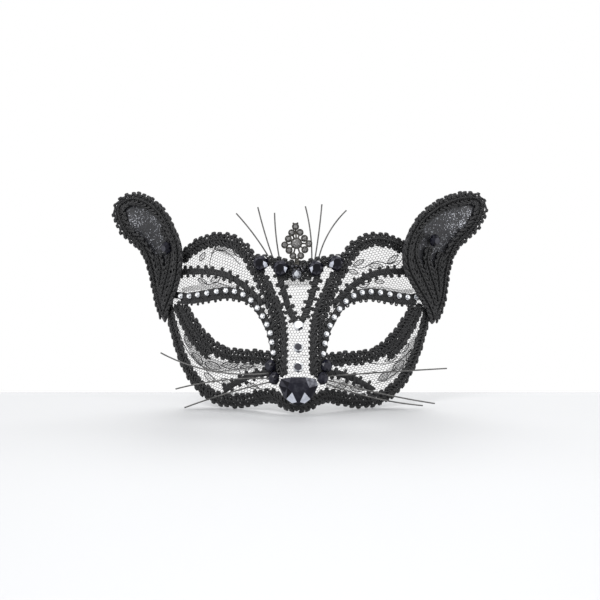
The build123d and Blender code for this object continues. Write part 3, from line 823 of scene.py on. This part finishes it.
# ---- ears -------------------------------------------------------------------------------
# Leaf-shaped ears of black felt with silver-glitter net stretched over their hollow, a
# heavier looped gimp round the rim, and rows of gimp that fill the lower leaf to its tail.
EAR_PIVOT = 62.0
EAR_STANDOFF = 3.6
EAR_SPLAY_BASE = 1.15
EAR_SPLAY_TOP = 0.5
EAR_BASE_HEIGHT = 58.0
EAR_TOP_HEIGHT = 105.0
EAR_CUP_RADIUS = 52.0
EAR_OUTLINES = {
    "left": [(78, 46), (73, 58), (68.5, 69), (66.2, 80), (66, 91), (69, 100), (76, 111.8),
             (86, 119.6), (97, 122.6), (106, 119), (109.4, 111.6), (104, 98.8), (93, 89),
             (88.6, 78), (86.2, 65), (83, 53.5)],
    "right": [(78, 45), (72.5, 56), (64.8, 68.4), (59.6, 78), (58.2, 88), (61, 98.6), (68, 109),
              (80, 117.6), (95, 122.6), (106.4, 122), (111.4, 114.6), (106, 102), (93.6, 90),
              (89.4, 78), (87.8, 63), (84.6, 52.5)],
}
EAR_ROWS = {
    "left": [[(78.6, 103), (74.8, 96), (73.8, 87), (75.6, 77), (78.6, 67), (80.6, 57)],
             [(81.8, 87), (80, 79), (81.2, 70), (82.2, 60)]],
    "right": [[(71, 101), (67, 94), (66.4, 86), (70, 77), (75, 67), (79.4, 57)],
              [(75.4, 91), (74, 84.6), (76, 77), (79, 69), (81.6, 60)],
              [(83.6, 88), (81, 81), (81.8, 72), (82.8, 63)]],
}
RIM_INSET = 3.3
FELT_INSET = 1.0
PANEL_INSET = 3.6
EAR_GIMP_LIFT = 2.5
FELT_SHEET = {"lift": 0.4, "thickness": 0.8, "spacing": 2.0, "swell": 0.0}
GLITTER_SHEET = {"lift": 1.3, "thickness": 0.3, "spacing": 1.8, "swell": 0.22}
SLOPE_SHARE = 1.12      # cut area over the area seen from the front, as the ear slopes back
ROW_SHARE = 0.87        # height of a row of triangles over their width
RIM_SHARE = 0.6         # nearest that an inner point comes to the rim, over the spacing


def ear_spine(z):
    return 77 + 22 * ease((z - 52) / 74)


def ear_depth(x, z):
    """Depth of the ear surface; x is measured outwards from the middle of the mask."""
    turn = ease((z - EAR_BASE_HEIGHT) / (EAR_TOP_HEIGHT - EAR_BASE_HEIGHT))
    splay = EAR_SPLAY_BASE + (EAR_SPLAY_TOP - EAR_SPLAY_BASE) * turn
    cup = (x - ear_spine(z)) ** 2 / (2 * EAR_CUP_RADIUS)
    return face_depth(EAR_PIVOT, z) - EAR_STANDOFF + splay * (x - EAR_PIVOT) - cup


def inset_line(outline, amount):
    """A closed line moved inwards, without the places where it would cross itself."""
    line = smooth(outline, 0.5, closed=True)
    moved = []
    for i, (x, z) in enumerate(line):
        before, after = line[i - 1], line[(i + 1) % len(line)]
        run, rise = after[0] - before[0], after[1] - before[1]
        length = hypot(run, rise)
        point = (x + amount * rise / length, z - amount * run / length)
        clear = min(hypot(point[0] - u, point[1] - v) for u, v in line)
        if clear > 0.97 * amount and inside(line, *point):
            moved.append(point)
    return moved


def sheet_mesh(name, outline, side, lift, thickness, spacing, swell, material):
    """A thin sheet cut to an outline and laid on the ear, with faces on both sides."""
    rim = [Vector(p) for p in smooth(outline, spacing, closed=True)]
    flat = [(p.x, p.y) for p in rim]
    low = (min(p[0] for p in flat), min(p[1] for p in flat))
    high = (max(p[0] for p in flat), max(p[1] for p in flat))
    grid = []
    rise = ROW_SHARE * spacing
    for row in range(int((high[1] - low[1]) / rise)):
        for column in range(int((high[0] - low[0]) / spacing)):
            x, z = low[0] + (column + 0.5 * (row % 2)) * spacing, low[1] + row * rise
            clear = min(hypot(x - u, z - v) for u, v in flat)
            if inside(flat, x, z) and clear > RIM_SHARE * spacing:
                grid.append(Vector((x, z)))
    count = len(rim)
    loop = [(i, (i + 1) % count) for i in range(count)]
    points, _, triangles, *_ = delaunay_2d_cdt(rim + grid, loop, [list(range(count))], 1, 1e-4)
    shell, normals = [], []
    for x, z in points:
        wave = swell * sin(0.55 * x + 0.3 * z) * sin(0.4 * z - 0.25 * x)
        point, normal = on_surface(ear_depth, side * x, z, lift + wave)
        shell.append(point)
        normals.append(normal)
    front = [(p + n * thickness / 2) * MM for p, n in zip(shell, normals)]
    back = [(p - n * thickness / 2) * MM for p, n in zip(shell, normals)]
    total = len(points)
    faces = []
    for a, b, c in triangles:
        u, v = points[b] - points[a], points[c] - points[a]
        turned = (u.x * v.y - u.y * v.x) * side > 0
        faces.append((a, b, c) if turned else (a, c, b))
    used = dict.fromkeys(edge for face in faces for edge in zip(face, face[1:] + face[:1]))
    walls = [(b, a, a + total, b + total) for a, b in used if (b, a) not in used]
    behind = [tuple(i + total for i in reversed(face)) for face in faces]
    piece = mesh_object(name, front + back, faces + behind + walls, material)
    for polygon in piece.data.polygons:
        polygon.use_smooth = len(polygon.vertices) == 3
    return piece


def felt_material():
    """Pressed black wool felt: matted fibres, soft sheen, no gloss."""
    material, tree, shader, place = shader_parts(
        "ear_felt", (0.014, 0.014, 0.016), 0.95, Sheen_Weight=0.35, Specular_IOR_Level=0.2
    )
    fibre = node(tree, "ShaderNodeTexNoise", Vector=place, Scale=2200.0, Detail=5.0, Distortion=1.5)
    tone = between(
        tree, fibre.outputs[0], (0.3, (0.006, 0.006, 0.007)), (0.75, (0.034, 0.033, 0.038))
    )
    tree.links.new(tone, shader.inputs["Base Color"])
    roughen(tree, shader, fibre.outputs[0], 0.7, 0.0002)
    return material


def glitter_material():
    """Charcoal net with silver glitter caught in it, thicker in some places than others."""
    material, tree, shader, place = shader_parts("silver_glitter_net", (0.03, 0.03, 0.04), 0.45)
    flake = node(tree, "ShaderNodeTexVoronoi", Vector=place, Scale=1900.0)
    pick = node(tree, "ShaderNodeSeparateColor", n0=flake.outputs["Color"]).outputs
    drift = node(tree, "ShaderNodeTexNoise", Vector=place, Scale=95.0, Detail=3.0)
    share = node(
        tree, "ShaderNodeMapRange", Value=drift.outputs[0], From_Min=0.38, From_Max=0.66,
        To_Min=0.97, To_Max=0.66,
    ).outputs[0]
    lit = math_node(tree, "GREATER_THAN", pick[0], share)
    weave = node(
        tree, "ShaderNodeTexVoronoi", {"feature": "DISTANCE_TO_EDGE"}, Vector=place, Scale=650.0
    )
    mesh_line = math_node(tree, "LESS_THAN", weave.outputs["Distance"], 0.16)
    tone = between(tree, pick[1], (0.0, (0.045, 0.047, 0.055)), (1.0, (0.42, 0.43, 0.46)))
    base = node(
        tree, "ShaderNodeMix", {"data_type": "RGBA"}, Factor=mesh_line,
        n6=(0.016, 0.017, 0.021, 1), n7=(0.008, 0.008, 0.01, 1),
    )
    mixed = node(
        tree, "ShaderNodeMix", {"data_type": "RGBA"}, Factor=lit, n6=base.outputs[2], n7=tone
    )
    tree.links.new(mixed.outputs[2], shader.inputs["Base Color"])
    tree.links.new(lit, shader.inputs["Metallic"])
    roughen(tree, shader, pick[2], 0.6, 0.0002)
    return material


def outline_area(line):
    return abs(sum(a[0] * b[1] - b[0] * a[1] for a, b in zip(line, line[1:] + line[:1]))) / 2


EAR_GIMP = plait_tree(
    "ear_rim_gimp", flat_braid(1.3, 4.2, 0.5, 3) + scallops(1.6, 3.7, 3.6, 1.35, 0.64, 0.6)
    + centre_cords(1.3)
)
EAR_ROW = plait_tree(
    "ear_row_gimp", flat_braid(1.0, 4.2, 0.42, 3) + scallops(1.2, 3.0, 3.5, 1.3, 0.54, 0.4)
    + centre_cords(1.0)
)
FELT = felt_material()
GLITTER = glitter_material()
for name, side in SIDES.items():
    backing = inset_line(EAR_OUTLINES[name], FELT_INSET)[::4]
    felt = sheet_mesh(f"ear_felt_{name}", backing, side, material=FELT, **FELT_SHEET)
    settle(felt, "ear_felt", f"ear_backing_{name}")
    cut = inset_line(EAR_OUTLINES[name], PANEL_INSET)[::6]
    glitter = sheet_mesh(f"ear_glitter_{name}", cut, side, material=GLITTER, **GLITTER_SHEET)
    settle(glitter, "glitter_net", f"ear_net_{name}")
    outline_area(cut) * SLOPE_SHARE * MM * MM
    rim = mirrored(inset_line(EAR_OUTLINES[name], RIM_INSET)[::8], side)
    trimming(
        f"ear_rim_plait_{name}", [rim + rim[:1]], EAR_GIMP, EAR_GIMP_LIFT,
        [f"ear_rim_gimp_{name}"], ear_depth,
    )
    rows = [mirrored(row, side) for row in EAR_ROWS[name]]
    trimming(
        f"ear_row_plait_{name}", rows, EAR_ROW, EAR_GIMP_LIFT, [f"ear_inner_gimp_{name}"],
        ear_depth,
    )

# ---- stones, wires, bristles and fittings -----------------------------------------------
# Foiled glass stones whose facets go from black to bright in painted reflections, gunmetal
# settings, painted wire, stiff bristles and blackened rings.


def coat(labels, material):
    for label in labels:
        piece = bpy.data.objects[label]
        if not piece.material_slots:
            piece.data.materials.append(material)
        for slot in piece.material_slots:
            slot.material = material


def both(label):
    return [f"{label}_{name}" for name in SIDES]


def facets(corners):
    """Flat faces of the solid that just holds some corners."""
    form = bmesh.new()
    for corner in corners:
        form.verts.new(corner)
    bmesh.ops.convex_hull(form, input=form.verts)
    bmesh.ops.dissolve_limit(
        form, angle_limit=radians(2), verts=form.verts, edges=form.edges
    )
    form.normal_update()
    return form


def round_corners(diameter, depth, count, table):
    """Corners of a round stone: back edge, girdle, kites and table, with z as its height."""
    rows = [(0.46, 0.0, 0.5), (0.5, 0.3, 0.5), (0.42, 0.7, 0.0), (0.5 * table, 1.0, 0.5)]
    return [
        (diameter * size * cos(2 * pi * (i + shift) / count),
         diameter * size * sin(2 * pi * (i + shift) / count), depth * height)
        for size, height, shift in rows for i in range(count)
    ]


def stone_seat(depth, x, z, lift):
    point, normal = on_surface(depth, x, z, lift)
    across = Vector((0, 0, 1)).cross(normal).normalized()
    return point, across, normal.cross(across), normal


def stone_piece(label, seats, corners, tone, clear=False):
    """Cut stones that stand for a CAD node; tone gives each facet its painted reflection, a shade
    from 0 to 1.
    """
    material = CLEAR_GLASS if clear else BLACK_GLASS
    points, faces, tones = [], [], []
    for point, across, up, normal in seats:
        form = facets(corners)
        start = len(points)
        form.verts.index_update()
        points += [
            (point + across * v.co.x + up * v.co.y + normal * v.co.z) * MM for v in form.verts
        ]
        for face in form.faces:
            faces.append([start + v.index for v in face.verts])
            facing = across * face.normal.x + up * face.normal.y + normal * face.normal.z
            tones.append(tone(face.normal, facing, face.calc_center_median(), point))
        form.free()
    piece = mesh_object(f"{label}_cut", points, faces, material)
    # The tone attribute holds each facet's painted reflection brightness.
    stored = piece.data.attributes.new("tone", "FLOAT", "FACE")
    stored.data.foreach_set("value", tones)
    settle(piece, "clear_crystal" if clear else "black_stone", label)


def stone_material(name, stops, roughness, specular):
    """Foiled glass: each facet shows its painted reflection tone, a little clouded."""
    material, tree, shader, place = shader_parts(
        name, stops[0][1], roughness, Specular_IOR_Level=specular
    )
    tone = node(tree, "ShaderNodeAttribute", {"attribute_name": "tone"}).outputs["Fac"]
    smear = node(tree, "ShaderNodeTexNoise", Vector=place, Scale=420.0, Detail=2.0)
    cloud = math_node(tree, "MULTIPLY", math_node(tree, "SUBTRACT", smear.outputs[0], 0.5), 0.35)
    shown = between(tree, math_node(tree, "ADD", tone, cloud), *stops)
    tree.links.new(shown, shader.inputs["Base Color"])
    return material


def shade(normal, low, high):
    """Painted reflection: a steady share between two tones that changes from facet to facet."""
    wave = sin(37.0 * normal.x + 59.0 * normal.y + 83.0 * normal.z)
    return low + (high - low) * (0.5 + 0.5 * wave)


def grained_material(name, low, high, scale, roughness, metallic, bump_depth):
    """A finish that wanders between two colours, with a fine bump."""
    material, tree, shader, place = shader_parts(name, low, roughness, Metallic=metallic)
    grain = node(tree, "ShaderNodeTexNoise", Vector=place, Scale=scale, Detail=4.0).outputs[0]
    tree.links.new(between(tree, grain, (0.35, low), (0.68, high)), shader.inputs["Base Color"])
    roughen(tree, shader, grain, 0.4, bump_depth)
    return material


FLAT = 0.98     # a facet whose normal rises more than this is the table
# Colours from the stones' own black up to the painted reflections of their brightest facets.
JET = (0.0015, 0.0015, 0.003)
INK = (0.008, 0.008, 0.014)
SMOKE = (0.055, 0.055, 0.066)
SILVER = (0.42, 0.44, 0.47)
PAINTED_FLASH_GREY = (0.42, 0.44, 0.5)
PAINTED_FLASH_WHITE = (0.78, 0.79, 0.8)
BLACK_GLASS = stone_material(
    "black_glass", [(0.0, JET), (0.4, INK), (0.7, SMOKE), (1.0, PAINTED_FLASH_GREY)], 0.05, 0.16
)
CLEAR_GLASS = stone_material(
    "clear_glass", [(0.0, INK), (0.35, SMOKE), (0.65, SILVER), (1.0, PAINTED_FLASH_WHITE)], 0.08, 0.5
)


def painted_facet_flash(toward, width, low, high, table):
    """Dark stone with a painted highlight on a facet or two that face one way, as far as width
    in cosine, and painted reflections between low and high on the rest.
    """
    way = Vector(toward).normalized()

    def tone(own, facing, middle, seat):
        if own.z > FLAT:
            return table
        outward = Vector((facing.x * (1 if seat.x >= 0 else -1), facing.y, facing.z))
        return 1.0 if outward.dot(way) > width else shade(own, low, high)

    return tone


FOREHEAD_GEMS = {"outer": (20.8, 83), "inner": (9.7, 80.2)}
NOSE_SIDE_GEMS = [(15, 26.2), (12.8, 19.6)]
EAR_GEMS = {"left": (75.6, 91), "right": (78, 95.3)}
BRIDGE_HEIGHTS = (48.2, 36.4, 26)
CRYSTALS_A_SIDE = 16
GEM_LIFT = 3.2
EAR_GEM_LIFT = 3.6
CRYSTAL_LIFT = 2.6
FOREHEAD_CUT = round_corners(diameter=9.2, depth=4.0, count=8, table=0.5)
NOSE_SIDE_CUT = round_corners(diameter=7.6, depth=3.4, count=8, table=0.5)
EAR_CUT = round_corners(diameter=7.4, depth=3.2, count=10, table=0.5)
CRYSTAL_CUT = round_corners(diameter=3.3, depth=1.6, count=8, table=0.55)
BRIDGE_CUT = round_corners(diameter=6.3, depth=2.8, count=6, table=0.68)
CENTRE_CUT = round_corners(diameter=5.6, depth=2.8, count=8, table=0.5)

for name, side in SIDES.items():
    for row, (x, z) in FOREHEAD_GEMS.items():
        stone_piece(
            f"forehead_gem_{row}_{name}", [stone_seat(face_depth, side * x, z, GEM_LIFT)],
            FOREHEAD_CUT, painted_facet_flash((-0.62, -0.78, 0.04), 0.955, low=0.1, high=0.62, table=0.05),
        )
    stone_piece(
        f"nose_side_gems_{name}",
        [stone_seat(face_depth, side * x, z, GEM_LIFT) for x, z in NOSE_SIDE_GEMS],
        NOSE_SIDE_CUT, painted_facet_flash((0.1, -0.8, 0.6), 0.999, low=0.1, high=0.5, table=0.5),
    )
    x, z = EAR_GEMS[name]
    stone_piece(
        f"ear_gem_{name}", [stone_seat(ear_depth, side * x, z, EAR_GEM_LIFT)],
        EAR_CUT, painted_facet_flash((-0.5, -0.5, -0.7), 0.999, low=0.05, high=0.4, table=0.66),
    )
    row = smooth(CRYSTAL_ROUTE, 0.25)
    last = CRYSTALS_A_SIDE - 1
    stops = [row[round(i * (len(row) - 1) / last)] for i in range(CRYSTALS_A_SIDE)]
    seats = [
        stone_seat(face_depth, side * x, z + CROWN_RISE[name], CRYSTAL_LIFT) for x, z in stops
    ]
    # Painted reflections: a bright table and facets from mid to bright on the small crystals.
    stone_piece(
        f"banding_crystals_{name}", seats, CRYSTAL_CUT,
        lambda own, facing, middle, seat: 0.95 if own.z > FLAT else shade(own, 0.3, 0.9),
        clear=True,
    )


def bridge_painted_reflections(own, facing, middle, seat):
    """Painted reflections: the top stone is pale with one dark facet, and the lower two have dark
    tables.
    """
    if seat.z > 42:
        return 0.2 if own.z < 0.9 and own.x > 0.1 and own.y < -0.4 else shade(own, 0.75, 1.0)
    return 0.12 if own.z > FLAT else shade(own, 0.4, 0.95)


stone_piece(
    "bridge_crystals", [stone_seat(face_depth, 0, z, 0.8) for z in BRIDGE_HEIGHTS],
    BRIDGE_CUT, bridge_painted_reflections, clear=True,
)
# Painted reflections of varied brightness on the centre crystal's facets.
stone_piece(
    "centre_crystal", [stone_seat(face_depth, -1, 76.8, 3.0)], CENTRE_CUT,
    lambda own, facing, middle, seat: shade(own, 0.2, 0.58), clear=True,
)
NOSE_GEM_EDGE = [(-9.6, 7.8), (-4, 8.8), (4, 8.8), (9.6, 7.8), (10.8, 4.2), (8, -2.6),
                 (3.4, -6.6), (0, -7.4), (-3.4, -6.6), (-8, -2.6), (-10.8, 4.2)]
NOSE_GEM_TABLE = [(-4.8, 6.2), (4.8, 6.2), (6, 3.4), (3.4, 0.8), (-3.4, 0.8), (-6, 3.4)]
NOSE_GEM_KITES = [(6.6, -3.0), (3.4, -5.4), (0.9, -4.6), (8.2, 3.8), (7.6, 0.6)]
NOSE_GEM_HEIGHT = 12.4
NOSE_GEM_DEPTH = 5.0
NOSE_GEM_GIRDLE = 1.5
NOSE_GEM_FALL = 0.62        # share of the depth lost at the rim of its dome
NOSE_GEM_DOME = (11.5, 8.6)
NOSE_GEM_BACK = 0.92        # size of the flat back over the girdle


def nose_gem_corners():
    def dome(x, z):
        away = (x / NOSE_GEM_DOME[0]) ** 2 + (z / NOSE_GEM_DOME[1]) ** 2
        return NOSE_GEM_DEPTH * (1 - NOSE_GEM_FALL * away)

    corners = [(NOSE_GEM_BACK * x, NOSE_GEM_BACK * z, 0) for x, z in NOSE_GEM_EDGE]
    corners += [(x, z, NOSE_GEM_GIRDLE) for x, z in NOSE_GEM_EDGE]
    corners += [(x, z, NOSE_GEM_DEPTH) for x, z in NOSE_GEM_TABLE]
    for x, z in NOSE_GEM_KITES:
        corners += [(way * x, z, dome(x, z)) for way in (-1, 1)]
    return corners


def nose_gem_painted_reflections(own, facing, middle, seat):
    """Painted reflections: two bright facets below the table, a grey one at the top and the rest
    dark.
    """
    across, up = abs(middle.x), middle.y
    if own.z > FLAT:
        return 0.42
    if 2.3 < across < 5.6 and -4.6 < up < -0.6:
        return 1.0
    if middle.x > 5 and up > 5:
        return 0.75
    return shade(own, 0.05, 0.56)


nose_point, _ = on_surface(face_depth, 0, NOSE_GEM_HEIGHT, GEM_LIFT)
nose_frame = (nose_point, Vector((1, 0, 0)), Vector((0, 0, 1)), Vector((0, -1, 0)))
stone_piece("nose_gem", [nose_frame], nose_gem_corners(), nose_gem_painted_reflections)
# Pieces, finish, its two colours, grain size, roughness, metal, and depth of the bump.
FINISHES = [
    (["ornament_crystals", "ornament_centre_stone"], "ornament_crystal", (0.02, 0.02, 0.02),
     (0.24, 0.235, 0.23), 1100.0, 0.08, 0.0, 0.00003),
    (["ornament_frame"], "gunmetal", (0.012, 0.011, 0.01), (0.07, 0.067, 0.06), 900.0, 0.32, 1.0,
     0.0001),
    (["bead_cluster"], "black_glass_bead", (0.006, 0.006, 0.008), (0.02, 0.02, 0.026), 500.0,
     0.08, 0.0, 0.00002),
    (["seed_beads"], "silver_bead", (0.5, 0.5, 0.5), (0.85, 0.85, 0.85), 700.0, 0.15, 1.0,
     0.00003),
    (both("forehead_whiskers") + both("cheek_whiskers"), "bristle", (0.03, 0.03, 0.029),
     (0.09, 0.088, 0.085), 260.0, 0.38, 0.0, 0.00004),
    (both("frame_wire") + both("ear_wire"), "painted_wire", (0.008, 0.008, 0.009),
     (0.03, 0.03, 0.03), 600.0, 0.35, 0.0, 0.00005),
    (both("tie_ring"), "blackened_ring", (0.02, 0.02, 0.022), (0.09, 0.088, 0.085), 800.0, 0.3,
     1.0, 0.00004),
]
for labels, *finish in FINISHES:
    coat(labels, grained_material(*finish))

low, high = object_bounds()
{"cad": [list(cad_low), list(cad_high)], "visual": [list(low), list(high)]}
